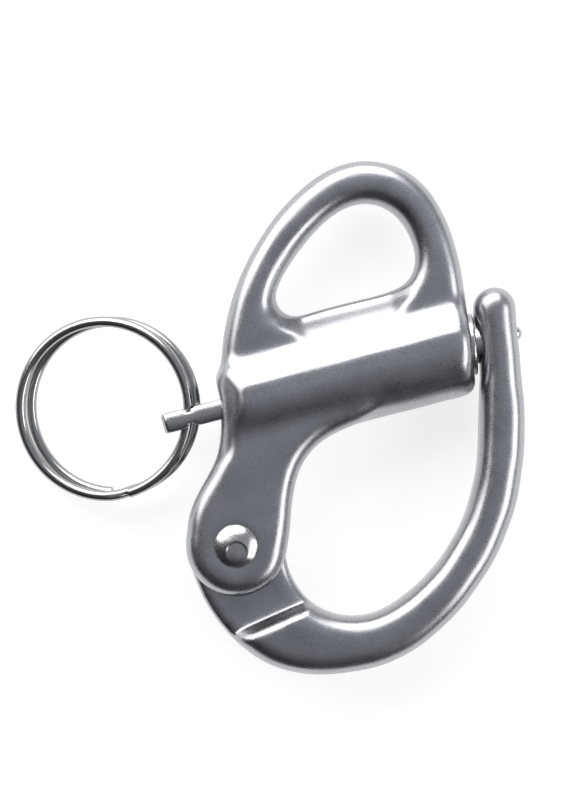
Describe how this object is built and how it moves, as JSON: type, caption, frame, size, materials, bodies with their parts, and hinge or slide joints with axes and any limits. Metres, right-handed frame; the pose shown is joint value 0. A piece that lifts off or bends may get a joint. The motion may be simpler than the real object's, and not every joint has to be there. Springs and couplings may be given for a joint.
{
  "type": "snap shackle",
  "caption": "Snap shackle with a fixed bail eye, a curved gate on a riveted clevis pivot, a sprung plunger that latches the gate's tip, and a split pull ring.",
  "frame": {"origin": "middle of the bounding box's floor; the shackle lies flat with its barrel on the floor", "axes": "+Z through the thickness, parallel to the gate's rivet; +Y from the gate towards the bail; +X from the pull ring towards the gate's latched tip"},
  "size_m": [0.07, 0.0702, 0.0133],
  "materials": {
    "cast_stainless": "investment cast, tumbled to a satin sheen with fine grain",
    "turned_stainless": "turned and peened, brighter than the castings",
    "wire_stainless": "drawn wire, smooth and bright"
  },
  "bodies": {
    "shackle_body": {"body": "cast_stainless", "pivot_rivet": "turned_stainless", "end_bush": "turned_stainless", "spring": "wire_stainless"},
    "gate": {"gate": "cast_stainless"},
    "plunger": {"plunger": "turned_stainless"},
    "pull_ring": {"split_ring": "wire_stainless"}
  },
  "joints": [
    {"name": "gate_hinge", "type": "hinge", "parent": "shackle_body", "child": "gate", "pos_m": [-0.00433, -0.01731, 0.00665], "axis": [0, 0, -1], "range_deg": [0, 120]},
    {"name": "plunger_pull", "type": "slide", "parent": "shackle_body", "child": "plunger", "axis": [-0.9681, -0.2504, 0], "range_m": [0, 0.0068], "stiffness_N_per_m": 1450, "springref_m": -0.0055, "deforming": ["spring"]},
    {"name": "ring_swing", "type": "hinge", "parent": "plunger", "child": "pull_ring", "pos_m": [-0.01062, 0.00006, 0.00665], "axis": [-0.2504, 0.9681, 0], "range_deg": [-78, 105]}
  ]
}
